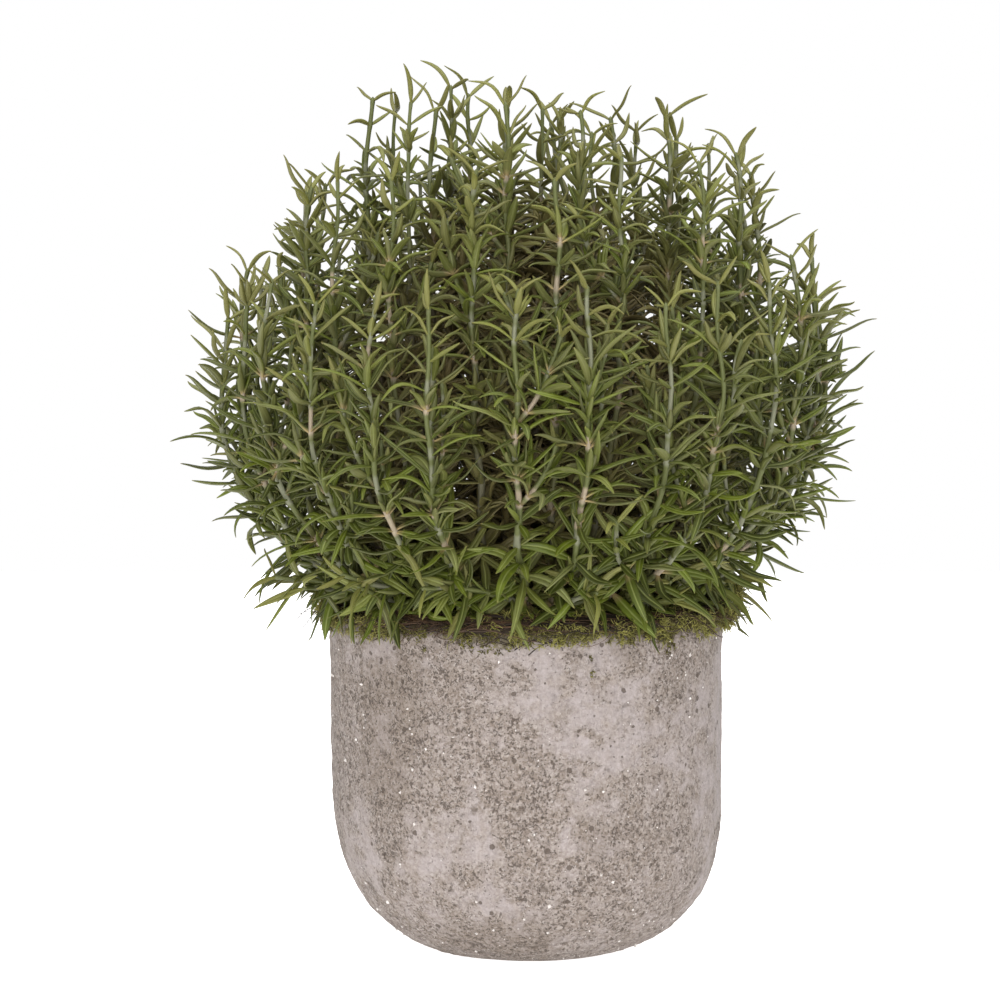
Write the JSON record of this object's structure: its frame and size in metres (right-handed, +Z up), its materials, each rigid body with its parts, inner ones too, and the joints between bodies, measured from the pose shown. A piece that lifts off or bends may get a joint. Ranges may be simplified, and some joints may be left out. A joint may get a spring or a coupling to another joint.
{
  "type": "potted rosemary plant",
  "caption": "Rosemary grown as a ball of leafy upright sprays, in a thick round-bottomed concrete pot filled with soil, with a collar of moss round its rim",
  "frame": {"origin": "On the flat foot of the pot, straight below the middle of its rim, on the surface that the pot stands on", "axes": "+Z runs up through the plant. -Y faces the picture's camera and +X is to its right"},
  "size_m": [0.218, 0.22, 0.2855],
  "materials": {
    "concrete": "matte",
    "soil": "matte",
    "moss": "matte",
    "rosemary": "satin"
  },
  "bodies": {
    "root": {"pot": "concrete", "soil": "soil", "moss_collar": "moss", "spray_01": "rosemary", "spray_02": "rosemary", "spray_03": "rosemary", "spray_04": "rosemary", "spray_05": "rosemary", "spray_06": "rosemary", "spray_07": "rosemary", "spray_08": "rosemary", "spray_09": "rosemary", "spray_10": "rosemary", "spray_11": "rosemary", "spray_12": "rosemary", "spray_13": "rosemary", "spray_14": "rosemary", "spray_15": "rosemary", "spray_16": "rosemary", "spray_17": "rosemary", "spray_18": "rosemary", "spray_19": "rosemary", "spray_20": "rosemary", "spray_21": "rosemary", "spray_22": "rosemary", "spray_23": "rosemary", "spray_24": "rosemary", "spray_25": "rosemary", "spray_26": "rosemary", "spray_27": "rosemary", "spray_28": "rosemary", "spray_29": "rosemary", "spray_30": "rosemary", "spray_31": "rosemary"}
  },
  "joints": []
}
